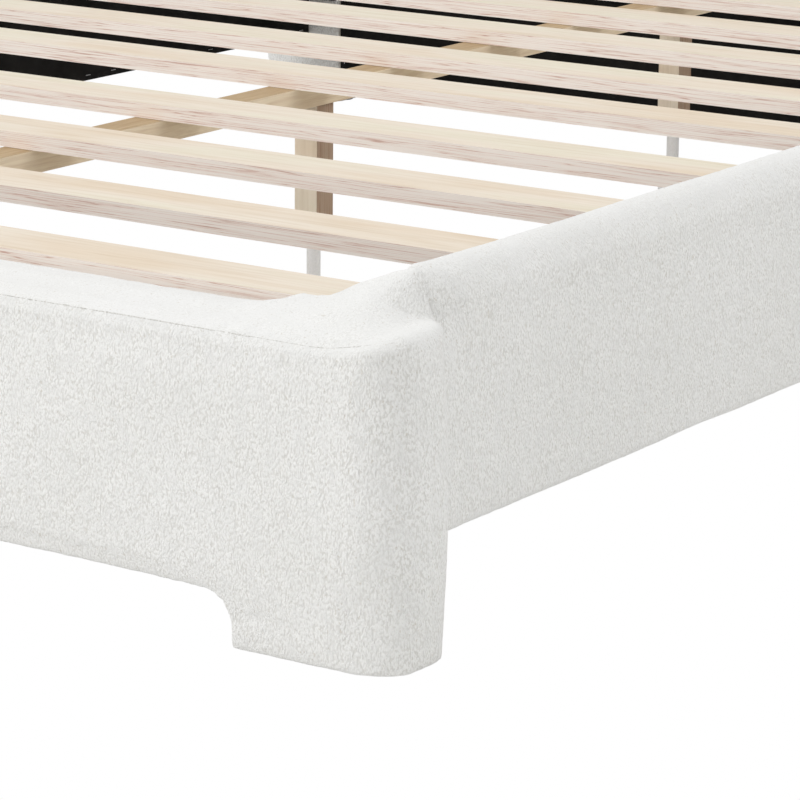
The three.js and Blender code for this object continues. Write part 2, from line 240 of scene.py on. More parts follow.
def ramp(tree, value, stops):
    made = add(tree, "ShaderNodeValToRGB")
    elements = made.color_ramp.elements
    while len(elements) < len(stops):
        elements.new(0.5)
    for element, (at, color) in zip(elements, stops):
        element.position = at
        element.color = (*color, 1)
    tree.links.new(value, made.inputs["Fac"])
    return made.outputs["Color"]


def blend_colors(tree, amount, low, high, mode="MIX"):
    """Mixes two colours or sockets. amount is a number or a socket."""
    made = add(tree, "ShaderNodeMix", data_type="RGBA", blend_type=mode)
    for socket, value in ((made.inputs[0], amount), (made.inputs[6], low), (made.inputs[7], high)):
        if isinstance(value, bpy.types.NodeSocket):
            tree.links.new(value, socket)
        else:
            socket.default_value = value if isinstance(value, (int, float)) else (*value, 1)
    return made.outputs[2]


def math_of(tree, operation, first, second=0.0, third=0.0):
    made = add(tree, "ShaderNodeMath", operation=operation)
    for socket, value in zip(made.inputs, (first, second, third)):
        if isinstance(value, bpy.types.NodeSocket):
            tree.links.new(value, socket)
        else:
            socket.default_value = value
    return made.outputs[0]


def bump(tree, shader, height, distance, strength=1.0):
    made = add(tree, "ShaderNodeBump", Strength=strength, Distance=distance)
    tree.links.new(height, made.inputs["Height"])
    tree.links.new(made.outputs["Normal"], shader.inputs["Normal"])


def boucle_material():
    """White curly pile: fine loops about 1.5 mm wide that hang longer than they are wide, fuller
    in some patches and pressed flat in others, with less relief on tops, painted shade down
    between the loops, painted shade that darkens up-facing tops, and a few tan flecks."""
    material, tree, shader = new_material("boucle")
    shader.inputs["Roughness"].default_value = 0.95
    shader.inputs["Specular IOR Level"].default_value = 0.1
    shader.inputs["Sheen Weight"].default_value = 0.15
    shader.inputs["Sheen Roughness"].default_value = 0.6
    place = scaled_place(tree, (1, 1, 0.55))
    warp = add(tree, "ShaderNodeTexNoise", Scale=150.0, Detail=2.0)
    tree.links.new(place, warp.inputs["Vector"])
    shifted = add(tree, "ShaderNodeVectorMath", operation="MULTIPLY_ADD")
    tree.links.new(warp.outputs["Color"], shifted.inputs[0])
    shifted.inputs[1].default_value = (0.003, 0.003, 0.003)
    tree.links.new(place, shifted.inputs[2])
    loops = add(tree, "ShaderNodeTexVoronoi", feature="SMOOTH_F1", Scale=640.0, Smoothness=0.6)
    tree.links.new(shifted.outputs[0], loops.inputs["Vector"])
    curl = math_of(tree, "SUBTRACT", 0.85, loops.outputs["Distance"])
    fine = noise_at(tree, place, 1300.0, 3.0, 0.65)
    height = math_of(tree, "MULTIPLY_ADD", fine, 0.55, math_of(tree, "SUBTRACT", curl, 0.1))
    # Painted shade: the colour darkens down between the loops and lightens towards their tips.
    tone = ramp(tree, height, [(0.36, BOUCLE_SHADE), (0.56, BOUCLE_WHITE), (0.9, BOUCLE_TIP)])
    patches = noise_at(tree, scaled_place(tree, (1, 1, 0.7)), 70.0, 3.0)
    # Painted shade on tops: up-facing fabric is blended towards a darker flat tone, along with the
    # real patches of pressed pile.
    top = math_of(tree, "SMOOTH_MAX", facing_along(tree, "Z"), 0.0, 0.1)
    pressed_and_top_shade = ramp(tree, patches, [(0.42, (0, 0, 0)), (0.62, (0.5, 0.5, 0.5))])
    pressed_and_top_shade = math_of(tree, "MULTIPLY_ADD", top, 0.6, pressed_and_top_shade)
    pressed_and_top_shade = math_of(tree, "MINIMUM", pressed_and_top_shade, 0.85)
    tone = blend_colors(tree, pressed_and_top_shade, tone, BOUCLE_PRESSED_AND_TOP_SHADE)
    drift = noise_at(tree, scaled_place(tree, (1, 1, 1)), 9.0, 3.0)
    cloudy = ramp(tree, drift, [(0.3, (0.97, 0.97, 0.965)), (0.7, (1, 1, 1))])
    color = blend_colors(tree, 1.0, tone, cloudy, "MULTIPLY")
    fleck = noise_at(tree, scaled_place(tree, (1, 1, 0.6)), 420.0, 1.0)
    spots = ramp(tree, fleck, [(0.68, (0, 0, 0)), (0.74, (0.45, 0.45, 0.45))])
    color = blend_colors(tree, spots, color, BOUCLE_FLECK)
    tree.links.new(color, shader.inputs["Base Color"])
    relief = math_of(tree, "MULTIPLY_ADD", top, -0.65, 1.0)
    bump(tree, shader, math_of(tree, "MULTIPLY", height, relief), 1.7 * MM, 0.8)
    return material


def lining_material():
    """Black spun-bonded lining: matte, with fine pressed dots and a faint haze of fibres."""
    material, tree, shader = new_material("black_lining")
    shader.inputs["Roughness"].default_value = 0.85
    shader.inputs["Specular IOR Level"].default_value = 0.2
    place = scaled_place(tree, (1, 1, 1))
    dots = add(tree, "ShaderNodeTexVoronoi", Scale=420.0, Randomness=0.25)
    tree.links.new(place, dots.inputs["Vector"])
    haze = noise_at(tree, place, 40.0, 4.0, 0.6)
    color = ramp(tree, haze, [(0.35, (0.006, 0.0055, 0.005)), (0.75, (0.014, 0.013, 0.012))])
    tree.links.new(color, shader.inputs["Base Color"])
    bump(tree, shader, dots.outputs["Distance"], 0.3 * MM, 0.5)
    return material


def ply_lines(tree, run_along):
    """Sawn edge of stacked veneers: thin glue lines at uneven depths that wander slowly along the
    grain, broken by small splits. Returns a colour."""
    scale = [1, 1, 1]
    scale["XYZ".index(run_along)] = 0.012
    layers = noise_at(tree, scaled_place(tree, scale), 560.0, 1.0, 0.5)
    off_line = math_of(tree, "ABSOLUTE", math_of(tree, "SUBTRACT", layers, 0.5))
    scale["XYZ".index(run_along)] = 0.05
    splits = noise_at(tree, scaled_place(tree, scale), 420.0, 4.0, 0.7)
    depth = math_of(tree, "MULTIPLY_ADD", splits, 0.10, off_line)
    return ramp(
        tree,
        depth,
        [(0.050, PLY_GLUE), (0.062, PLY_EDGE_SHADE), (0.082, PLY_EDGE), (0.15, PLY_EDGE_PALE)],
    )


def facing_along(tree, axis):
    """How far a surface faces along one axis, either way: 1 on a face square to that axis."""
    geometry = add(tree, "ShaderNodeNewGeometry")
    split = add(tree, "ShaderNodeSeparateXYZ")
    tree.links.new(geometry.outputs["Normal"], split.inputs[0])
    return math_of(tree, "ABSOLUTE", split.outputs[axis])


def veneer_material(name, face_colors, stacked_along, run_along, edge_painted_shade):
    """Veneer lumber: pale sanded faces with faint grain, sawn edges that show the plies, darkened
    by a painted shade factor, and a painted highlight on the arrises between them."""
    material, tree, shader = new_material(name)
    shader.inputs["Roughness"].default_value = 0.65
    shader.inputs["Specular IOR Level"].default_value = 0.25
    along = [1, 1, 1]
    along["XYZ".index(run_along)] = 0.05
    grain = noise_at(tree, scaled_place(tree, along), 160.0, 5.0, 0.6, 0.6)
    dark, middle, light = face_colors
    face = ramp(tree, grain, [(0.3, dark), (0.5, middle), (0.75, light)])
    broad = noise_at(tree, scaled_place(tree, (0.25, 1, 1)), 14.0, 2.0)
    tint = ramp(
        tree,
        broad,
        [(0.34, (0.95, 0.89, 0.82)), (0.50, (1, 0.985, 0.97)), (0.64, (0.98, 0.995, 0.955))],
    )
    face = blend_colors(tree, 1.0, face, tint, "MULTIPLY")
    # The sawn edges are multiplied by a painted shade factor.
    side = blend_colors(tree, 1.0, ply_lines(tree, run_along), edge_painted_shade, "MULTIPLY")
    square = facing_along(tree, stacked_along)
    is_face = ramp(tree, square, [(0.55, (0, 0, 0)), (0.8, (1, 1, 1))])
    color = blend_colors(tree, is_face, side, face)
    # Painted highlight: the bevelled arrises between face and edge are lightened.
    arris = ramp(
        tree,
        square,
        [(0.2, (0, 0, 0)), (0.45, (0.8, 0.8, 0.8)), (0.8, (0.8, 0.8, 0.8)), (0.97, (0, 0, 0))],
    )
    arris_highlight = blend_colors(tree, 1.0, PLY_ARRIS_HIGHLIGHT, edge_painted_shade, "MULTIPLY")
    color = blend_colors(tree, arris, color, arris_highlight)
    tree.links.new(color, shader.inputs["Base Color"])
    bump(tree, shader, grain, 0.3 * MM, 0.4)
    return material


def pine_material(name, light, dark, along):
    """Planed softwood with growth rings that run along one axis, and painted shade on its level
    faces.
    """
    material, tree, shader = new_material(name)
    shader.inputs["Roughness"].default_value = 0.65
    shader.inputs["Specular IOR Level"].default_value = 0.25
    scale = [1, 1, 1]
    scale["XYZ".index(along)] = 0.06
    place = scaled_place(tree, scale)
    rings = noise_at(tree, place, 130.0, 4.0, 0.6, 1.2)
    pores = noise_at(tree, place, 700.0, 2.0, 0.6)
    mixed = math_of(tree, "MULTIPLY_ADD", pores, 0.25, math_of(tree, "MULTIPLY", rings, 0.85))
    color = ramp(tree, mixed, [(0.38, dark), (0.68, light)])
    # Painted shade: up- and down-facing faces are darkened, for the shade the slats cast on the
    # beam's top.
    level = ramp(tree, facing_along(tree, "Z"), [(0.4, (1, 1, 1)), (0.8, (0.58, 0.51, 0.41))])
    color = blend_colors(tree, 1.0, color, level, "MULTIPLY")
    tree.links.new(color, shader.inputs["Base Color"])
    bump(tree, shader, mixed, 0.4 * MM, 0.5)
    return material


def smooth_material(name, color, metallic, roughness, grain_size):
    """Coated or plated steel, or moulded plastic: small pores and a slightly uneven gloss."""
    material, tree, shader = new_material(name)
    shader.inputs["Metallic"].default_value = metallic
    place = scaled_place(tree, (1, 1, 1))
    pores = noise_at(tree, place, grain_size, 2.0)
    shade = [tuple(min(channel * factor, 0.97) for channel in color) for factor in (0.9, 1.08)]
    mottled = ramp(tree, pores, [(0.3, shade[0]), (0.7, shade[1])])
    tree.links.new(mottled, shader.inputs["Base Color"])
    gloss = math_of(tree, "MULTIPLY_ADD", pores, 0.2, roughness - 0.1)
    tree.links.new(gloss, shader.inputs["Roughness"])
    bump(tree, shader, pores, 0.1 * MM, 0.4)
    return material


def seam_shade_thread_material():
    """A darker tube down in a seam: painted shade for the seam's groove, with the twisted stitching
    seen in it.
    """
    material, tree, shader = new_material("seam_shade_and_thread")
    shader.inputs["Roughness"].default_value = 0.9
    twist = noise_at(tree, scaled_place(tree, (1, 1, 1)), 500.0, 2.0)
    color = ramp(tree, twist, [(0.35, (0.50, 0.49, 0.46)), (0.65, (0.80, 0.79, 0.765))])
    tree.links.new(color, shader.inputs["Base Color"])
    return material


# ---------------------------------------------------------------- mesh tools


def vertices_of(mesh):
    flat = np.empty(len(mesh.vertices) * 3)
    mesh.vertices.foreach_get("co", flat)
    return flat.reshape(-1, 3)


def normals_of(mesh):
    flat = np.empty(len(mesh.vertices) * 3)
    mesh.vertices.foreach_get("normal", flat)
    return flat.reshape(-1, 3)


def move_to(mesh, points):
    mesh.vertices.foreach_set("co", points.ravel())
    mesh.update()


def smooth_step(value, low, high):
    t = np.clip((value - low) / (high - low), 0, 1)
    return t * t * (3 - 2 * t)


def lattice_noise(points, cell, seed):
    """Smooth noise from -1 to 1 on a grid of the given cell, one size for each axis."""
    scaled = points / np.asarray(cell)
    base = np.floor(scaled).astype(np.int64)
    t = scaled - base
    t = t * t * (3 - 2 * t)
    total = np.zeros(len(points))
    for corner in range(8):
        step = np.array([corner & 1, corner >> 1 & 1, corner >> 2 & 1])
        at = base + step
        mixed = at[:, 0] * 73856093 ^ at[:, 1] * 19349663 ^ at[:, 2] * 83492791
        mixed = mixed ^ (seed * 2654435761)
        mixed = (mixed ^ mixed >> 13) * 1274126177 & 0x7FFFFFFF
        value = (mixed ^ mixed >> 16) % 65536 / 32767.5 - 1
        weight = np.prod(np.where(step, t, 1 - t), axis=1)
        total += value * weight
    return total


def new_object(name, mesh):
    made = bpy.data.objects.new(name, mesh)
    bpy.context.scene.collection.objects.link(made)
    return made


def joined_copy(name, sources):
    """One new mesh with the shapes of several CAD nodes."""
    shape = bmesh.new()
    for source in sources:
        shape.from_mesh(nodes[source].data)
    mesh = bpy.data.meshes.new(name)
    shape.to_mesh(mesh)
    shape.free()
    return new_object(name, mesh)


def bake_modifiers(piece):
    depsgraph = bpy.context.evaluated_depsgraph_get()
    evaluated = piece.evaluated_get(depsgraph)
    mesh = bpy.data.meshes.new_from_object(evaluated)
    piece.modifiers.clear()
    piece.data = mesh
    return piece


def voxel_remesh(piece, voxel, smoothing=0):
    remesh = piece.modifiers.new("voxels", "REMESH")
    remesh.mode = "VOXEL"
    remesh.voxel_size = voxel
    remesh.use_smooth_shade = True
    if smoothing:
        smooth = piece.modifiers.new("soften", "SMOOTH")
        smooth.factor = 0.5
        smooth.iterations = smoothing
    return bake_modifiers(piece)


def smooth_shading(mesh):
    mesh.polygons.foreach_set("use_smooth", np.ones(len(mesh.polygons), bool))


# ---------------------------------------------------------------- padded covers


def pressure_swell(cover, frame_node, voxel, held):
    """Blows up a coarse copy of the panel as cloth. Returns where its points start and how far
    each one moves. Points for which held(points) is true stay where they are."""
    body = joined_copy("swelling_" + cover, [cover, frame_node])
    voxel_remesh(body, voxel, 2)
    start = vertices_of(body.data)
    pins = body.vertex_groups.new(name="held")
    pins.add([int(i) for i in np.flatnonzero(held(start))], 1.0, "REPLACE")
    cloth = body.modifiers.new("cloth", "CLOTH")
    settings = cloth.settings
    settings.quality = 4
    settings.mass = 0.4
    settings.use_pressure = True
    settings.uniform_pressure_force = CLOTH_PRESSURE
    settings.vertex_group_mass = pins.name
    settings.effector_weights.gravity = 0
    cloth.point_cache.frame_start = 1
    cloth.point_cache.frame_end = CLOTH_FRAMES
    scene = bpy.context.scene
    for step in range(1, CLOTH_FRAMES + 1):
        scene.frame_set(step)
    evaluated = body.evaluated_get(bpy.context.evaluated_depsgraph_get())
    moved = vertices_of(evaluated.data) - start
    scene.frame_set(1)
    bpy.data.objects.remove(body)
    return start, moved


def carry_swell(points, start, moved, cap, reach):
    """The swelling at other points, from the nearest points of the coarse copy, eased so that
    nothing moves further than the cap. Points deeper than reach, in the pocket, don't move."""
    tree = KDTree(len(start))
    for index, point in enumerate(start):
        tree.insert(point, index)
    tree.balance()
    result = np.zeros_like(points)
    for index, point in enumerate(points):
        found = tree.find_n(point, 4)
        if found[0][2] > reach:
            continue
        weights = np.array([1 / (distance + 1e-4) for _, _, distance in found])
        shifts = moved[[near for _, near, _ in found]]
        result[index] = weights @ shifts / weights.sum()
    length = np.linalg.norm(result, axis=1, keepdims=True)
    return result * (cap * np.tanh(length / cap) / np.maximum(length, 1e-9))


def pile(mesh, seed, strength=1.0):
    """Curls and unevenness of the pile, pushed out along the surface."""
    points = vertices_of(mesh)
    uneven = lattice_noise(points, (0.09, 0.09, 0.07), seed) * 0.7 * MM
    clumps = lattice_noise(points, (0.011, 0.011, 0.018), seed + 1) * 0.22 * MM
    curls = lattice_noise(points, (0.0055, 0.0055, 0.009), seed + 2) * 0.28 * MM
    shift = (uneven + clumps + curls) * strength
    move_to(mesh, points + normals_of(mesh) * shift[:, None])


def foot_top(x, y):
    """Height of the footboard's top. Its front edge is level and climbs a little round the ends.
    Behind it the padding swells up over each leg in a mound, and at the back it is drawn up in a
    ridge to the height of the rail's crest."""
    across = np.abs(x)
    mound = smooth_step(across, 615 * MM, 690 * MM) * 16 * MM
    mound += smooth_step(across, 690 * MM, 750 * MM) * 18 * MM
    mound *= 1 - 0.93 * smooth_step(across, 752 * MM, 806 * MM)
    dome = np.sin(np.clip((y - FRONT - 5 * MM) / (FOOT_DEPTH - 10 * MM), 0, 1) * math.pi / 2)
    end = smooth_step(across, 740 * MM, 822 * MM) * 9 * MM
    padding = FOOT_MIDDLE_TOP + mound * dome + end
    crest = smooth_step(across, 660 * MM, 795 * MM)
    crest *= 1 - smooth_step(across, 782 * MM, 806 * MM)
    reach = (30 - 14 * smooth_step(across, 765 * MM, 790 * MM)) * MM
    down = np.clip((BACK_OF_FOOT - 5 * MM - y) / reach, 0, 1)
    ridge = FOOT_MIDDLE_TOP + (rail_high.z - FOOT_MIDDLE_TOP) * crest * np.sqrt(1 - down**2)
    return soft_maximum(padding, ridge, 7 * MM)


def soft_maximum(first, second, width):
    """The larger of two heights, rounded where they meet."""
    apart = np.clip(1 - np.abs(first - second) / width, 0, 1)
    return np.maximum(first, second) + apart**2 * width / 4


def cad_foot_top(x):
    """Height of the CAD cover's top, which steps up over each leg."""
    step = FOOT_HALF - FOOT_LEG
    rise = smooth_step(np.abs(x), step - 22 * MM, step + 22 * MM)
    return FOOT_MIDDLE_TOP + rise * FOOT_CORNER_RISE


def shape_footboard(mesh):
    points = vertices_of(mesh)
    x, y, z = points.T
    lift = smooth_step(z, 175 * MM, 255 * MM)
    z += (foot_top(x, y) - cad_foot_top(x)) * lift
    crown = np.clip(1 - ((y - (FRONT + BACK_OF_FOOT) / 2) / (FOOT_DEPTH / 2)) ** 2, 0, 1)
    z += crown * FOOT_CROWN * smooth_step(z, 235 * MM, 262 * MM)
    # The padded end is fullest a little below the middle of its height.
    full = np.sin(np.clip(z / FOOT_MIDDLE_TOP, 0, 1) * math.pi)
    at_end = smooth_step(np.abs(x), 760 * MM, 830 * MM)
    x += np.sign(x) * FOOT_END_BULGE * full * at_end
    move_to(mesh, np.stack([x, y, z], axis=1))


def press_seam(mesh, distance_to_seam, depth, width):
    """Draws the surface in along a seam, with a small roll on each side."""
    points = vertices_of(mesh)
    d = distance_to_seam(points) / width
    shift = -depth * np.exp(-d * d) + 0.35 * depth * np.exp(-((d - 2.2) ** 2))
    move_to(mesh, points + normals_of(mesh) * shift[:, None])


def seam_height(x):
    """The footboard's seam runs under the front top edge and climbs round the end."""
    return FOOT_SEAM_HEIGHT + FOOT_SEAM_RISE * smooth_step(np.abs(x), 740 * MM, 825 * MM)


def from_foot_seam(points):
    """How far points are from the seam, more where it fades out round the ends."""
    x, y, z = points.T
    on_front = 1 - smooth_step(y - FRONT, 18 * MM, 32 * MM)
    return np.abs(z - seam_height(x)) + (1 - on_front) * 12 * MM


def snapped_path(mesh, rays, inset):
    """Points where rays, each a start and a direction, meet a mesh, set in by a small distance."""
    tree = BVHTree.FromPolygons(
        [tuple(v.co) for v in mesh.vertices], [tuple(p.vertices) for p in mesh.polygons]
    )
    path = []
    for start, direction in rays:
        hit, normal, _, _ = tree.ray_cast(start, direction)
        if hit is not None:
            path.append(hit - normal * inset)
    return path


def thread_along(name, path, radius):
    curve = bpy.data.curves.new(name, "CURVE")
    curve.dimensions = "3D"
    curve.bevel_depth = radius
    curve.bevel_resolution = 2
    curve.use_fill_caps = True
    line = curve.splines.new("POLY")
    line.points.add(len(path) - 1)
    for point, place in zip(line.points, path):
        point.co = (*place, 1)
    return new_object(name, curve)


def foot_seam_rays():
    """Rays from in front of the footboard, and from outside the start of each round end."""
    radius = FOOT_DEPTH / 2
    straight = FOOT_HALF - radius
    turns = np.radians(np.linspace(45, 0, 16)[:-1])
    for turn in turns:
        yield end_ray(-1, straight, radius, turn)
    for x in np.linspace(-straight, straight, 420):
        yield Vector((x, FRONT - 0.1, float(seam_height(x)))), Vector((0, 1, 0))
    for turn in turns[::-1]:
        yield end_ray(1, straight, radius, turn)


def end_ray(side, straight, radius, turn):
    """A ray towards the centre of a round end. Turn 0 comes from the front."""
    outward = Vector((side * math.sin(turn), -math.cos(turn), 0))
    start = Vector((side * straight, FRONT + radius, 0)) + outward * 0.15
    start.z = float(seam_height(side * straight + outward.x * radius))
    return start, -outward


def make_footboard(fabric, seam_shade_thread):
    piece = joined_copy("footboard_upholstery", ["footboard_cover"])
    voxel_remesh(piece, 4 * MM, 5)
    start, moved = pressure_swell(
        "footboard_cover",
        "footboard_frame",
        14 * MM,
        lambda p: (p[:, 2] < 16 * MM) | (p[:, 1] > BACK_OF_FOOT - 10 * MM),
    )
    points = vertices_of(piece.data)
    move_to(piece.data, points + carry_swell(points, start, moved, 2.5 * MM, 12 * MM))
    shape_footboard(piece.data)
    press_seam(piece.data, from_foot_seam, FOOT_SEAM_DEPTH, FOOT_SEAM_WIDTH)
    pile(piece.data, SEED)
    smooth_shading(piece.data)
    piece.data.materials.clear()
    piece.data.materials.append(fabric)
    finish_padding(piece, "footboard_cover")

    # The darker tube along the seam stands for painted shade in its groove as well as the
    # stitching.
    path = snapped_path(piece.data, foot_seam_rays(), THREAD_INSET)
    seam = thread_along("footboard_seam", path, THREAD_RADIUS)
    seam.data.materials.append(seam_shade_thread)
    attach(seam, BODY)


def finish_padding(piece, node):
    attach(piece, BODY)
    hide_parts(node)


def shape_headboard(mesh):
    """The padded face is a little fuller in the middle than at its border."""
    points = vertices_of(mesh)
    x, y, z = points.T
    centre_z = head_high.z * 0.55
    across = np.clip(1 - (x / head_high.x) ** 2, 0, 1)
    upright = np.clip(1 - ((z - centre_z) / (head_high.z - centre_z)) ** 2, 0, 1)
    above_mattress = smooth_step(z, 340 * MM, 480 * MM)
    face = smooth_step(head_low.y + 40 * MM - y, 0, 40 * MM)
    y -= HEAD_FULLNESS * np.sqrt(across * upright) * above_mattress * face
    move_to(mesh, np.stack([x, y, z], axis=1))


def make_headboard(fabric):
    piece = joined_copy("headboard_upholstery", ["headboard_cover"])
    voxel_remesh(piece, 8 * MM, 3)
    start, moved = pressure_swell(
        "headboard_cover",
        "headboard_frame",
        26 * MM,
        lambda p: (p[:, 2] < 330 * MM) | (p[:, 1] > head_high.y - 30 * MM),
    )
    points = vertices_of(piece.data)
    move_to(piece.data, points + carry_swell(points, start, moved, 6 * MM, 20 * MM))
    shape_headboard(piece.data)
    pile(piece.data, SEED + 20, 0.9)
    smooth_shading(piece.data)
    piece.data.materials.clear()
    piece.data.materials.append(fabric)
    finish_padding(piece, "headboard_cover")


def arc(centre, radius, start, end, count):
    angles = np.linspace(math.radians(start), math.radians(end), count)
    return [(centre[0] + radius * math.cos(a), centre[1] + radius * math.sin(a)) for a in angles]


def line(start, end, spacing):
    count = max(2, int(math.dist(start, end) / spacing))
    return [tuple(np.array(start) + (np.array(end) - start) * i / count) for i in range(count)]


def rail_section():
    """The right rail's padding in X and Z, anticlockwise: round the outside and over the crest,
    then back through the pocket that holds the board."""
    inner, outer = rail_low.x, rail_high.x
    bottom, top = rail_low.z, rail_high.z
    crest_in = 14 * MM
    crest_out = outer - inner - crest_in
    lower = 9 * MM
    board_low, board_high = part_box("side_rail_board_right")
    pocket_out = board_high.x + 0.5 * MM
    pocket_in = board_low.x - 0.2 * MM
    pocket_low = board_low.z - 0.5 * MM
    pocket_high = board_high.z + 0.5 * MM
    spacing = 3.2 * MM
    section = line((pocket_in, bottom), (outer - lower, bottom), spacing)
    section += arc((outer - lower, bottom + lower), lower, -90, 0, 6)
    section += line((outer, bottom + lower + spacing), (outer, top - crest_out - spacing), spacing)
    section += arc((outer - crest_out, top - crest_out), crest_out, 0, 90, 16)
    section += arc((inner + crest_in, top - crest_in), crest_in, 90, 180, 9)[1:]
    section += [(inner, pocket_high), (pocket_out, pocket_high), (pocket_out, pocket_low)]
    section += [(pocket_in, pocket_low)]
    return np.array(section)


def rail_station(section, y, turn=0.0):
    """The section at one place along the rail. Near the footboard its upper part is rounded in,
    seen from above, on to the footboard's top, and its lower part reaches forward round the
    footboard's round end. turn runs from 0 at the rail's end to nearly a right angle at the tip
    of the crest, where the crest has come down on to the footboard."""
    x, z = section.T.copy()
    middle = (rail_high.z + rail_low.z) / 2
    full = np.clip(1 - ((z - middle) / (middle - rail_low.z)) ** 2, 0, 1)
    on_outside = x > rail_high.x - 1 * MM
    x = x + on_outside * full * RAIL_BULGE
    near = 1 - smooth_step(np.array(y - rail_low.y), 0, RAIL_END_REACH)
    upper = smooth_step(z, RAIL_NOSE_FOOT - 35 * MM, RAIL_NOSE_FOOT + 15 * MM)
    forward = reach_round_end(x) * near * (1 - upper)
    forward = forward + (RAIL_NOSE * upper + 0.2 * MM) * math.sin(turn)
    past_start = rail_low.y + RAIL_ROUND - y + RAIL_NOSE * math.sin(turn)
    into_round = np.clip(past_start / (RAIL_ROUND + RAIL_NOSE), 0, 1)
    inner = rail_low.x - 5 * MM
    pulled_in = (x - inner) * (1 - math.sqrt(1 - into_round**2)) * upper
    over = np.maximum(z - RAIL_NOSE_FOOT, 0)
    return np.stack([x - pulled_in, y - forward, z - over * (1 - math.cos(turn))], axis=1)


def reach_round_end(x):
    """How far the rail's end reaches forward, to lie against the footboard's round end."""
    radius = FOOT_DEPTH / 2
    past_round = np.clip(x - (FOOT_HALF - radius), 0, radius)
    return radius - np.sqrt(radius**2 - past_round**2) + 1 * MM


def make_rail(side, sign, fabric):
    section = rail_section()
    spacing = 3.4 * MM
    count = int((rail_high.y - rail_low.y) / spacing)
    turns = np.linspace(RAIL_NOSE_TURN, 0, RAIL_NOSE_RINGS + 1)[:-1]
    rings = [rail_station(section, rail_low.y, turn) for turn in turns]
    rings += [rail_station(section, y) for y in np.linspace(rail_low.y, rail_high.y, count)]
    count = len(rings)
    rings = np.concatenate(rings)
    around = len(section)
    index = np.arange(around)
    after = np.roll(index, -1)
    faces = []
    for ring in range(count - 1):
        a, b = ring * around, (ring + 1) * around
        faces += np.stack([a + index, a + after, b + after, b + index], axis=1).tolist()
    faces.append(index[::-1].tolist())
    faces.append((index + (count - 1) * around).tolist())
    mesh = bpy.data.meshes.new("side_rail_upholstery_" + side)
    mesh.from_pydata(rings.tolist(), [], faces)
    shape = bmesh.new()
    shape.from_mesh(mesh)
    if sign < 0:
        bmesh.ops.scale(shape, vec=(-1, 1, 1), verts=shape.verts)
    caps = [face for face in shape.faces if len(face.verts) > 4]
    bmesh.ops.triangulate(shape, faces=caps)
    bmesh.ops.recalc_face_normals(shape, faces=shape.faces)
    shape.to_mesh(mesh)
    shape.free()
    pile_on_outside(mesh, SEED + 40 + sign)
    smooth_shading(mesh)
    piece = new_object(mesh.name, mesh)
    piece.data.materials.append(fabric)
    finish_padding(piece, "side_rail_cover_" + side)


def pile_on_outside(mesh, seed):
    """Pile on the rail's padding, and none in the pocket or at its ends."""
    points = vertices_of(mesh)
    across = np.abs(points[:, 0])
    outside = smooth_step(across, rail_high.x - 12 * MM, rail_high.x - 6 * MM)
    crest = smooth_step(points[:, 2], rail_high.z - 19 * MM, rail_high.z - 14 * MM)
    ends = np.minimum(points[:, 1] - rail_low.y + RAIL_NOSE, rail_high.y - points[:, 1])
    weight = np.maximum(outside, crest) * smooth_step(ends, 0, 6 * MM)
    before = points.copy()
    pile(mesh, seed)
    move_to(mesh, before + (vertices_of(mesh) - before) * weight[:, None])


# ---------------------------------------------------------------- black lining and its staples


def lining_sheet(node, name, across_axis, face_sign, fabric, rests_on):
    """A stapled lining in place of its CAD sheet, with faint ripples drawn between its staples.
    across_axis is the axis it faces along, 0 for the rails and 1 for the panels."""
    low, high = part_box(node)
    plane = [axis for axis in range(3) if axis != across_axis]
    spans = [high[axis] - low[axis] for axis in plane]
    counts = [max(8, int(span / (12 * MM))) for span in spans]
    first = np.linspace(low[plane[0]], high[plane[0]], counts[0])
    second = np.linspace(low[plane[1]], high[plane[1]], counts[1])
    grid_first, grid_second = np.meshgrid(first, second, indexing="ij")
    points = np.zeros((grid_first.size, 3))
    points[:, plane[0]] = grid_first.ravel()
    points[:, plane[1]] = grid_second.ravel()
    ripple = lattice_noise(points, (0.16, 0.16, 0.05), SEED + 60) * 0.35 * MM
    middle = (low[across_axis] + high[across_axis]) / 2
    points[:, across_axis] = middle + ripple
    rows, columns = counts
    index = np.arange(rows * columns).reshape(rows, columns)
    quads = np.stack([index[:-1, :-1], index[1:, :-1], index[1:, 1:], index[:-1, 1:]], axis=-1)
    mesh = bpy.data.meshes.new(name)
    mesh.from_pydata(points.tolist(), [], quads.reshape(-1, 4).tolist())
    piece = new_object(name, mesh)
    solid = piece.modifiers.new("thickness", "SOLIDIFY")
    solid.thickness = 0.5 * MM
    solid.offset = 0
    bake_modifiers(piece)
    smooth_shading(piece.data)
    piece.data.materials.append(fabric)
    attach(piece, BODY)
    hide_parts(node)
    outward = [0, 0, 0]
    outward[across_axis] = face_sign
    return low, high, plane, middle, Vector(outward)


def staples(name, edges, material):
    """Flat wire staples, each a bridge of wire that lies on the lining. edges holds, for each one,
    its middle, the way it runs and the way it faces."""
    shape = bmesh.new()
    length, wire = 10 * MM, 0.9 * MM
    for middle, run, facing in edges:
        other = run.cross(facing)
        turn = Matrix((run, other, facing)).transposed().to_4x4()
        size = Matrix.Diagonal((length, wire, 0.5 * MM, 1))
        bmesh.ops.create_cube(shape, size=1, matrix=Matrix.Translation(middle) @ turn @ size)
    mesh = bpy.data.meshes.new(name)
    shape.to_mesh(mesh)
    shape.free()
    piece = new_object(name, mesh)
    soften(piece, 0.15 * MM, 1)
    piece.data.materials.append(material)
    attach(piece, BODY)


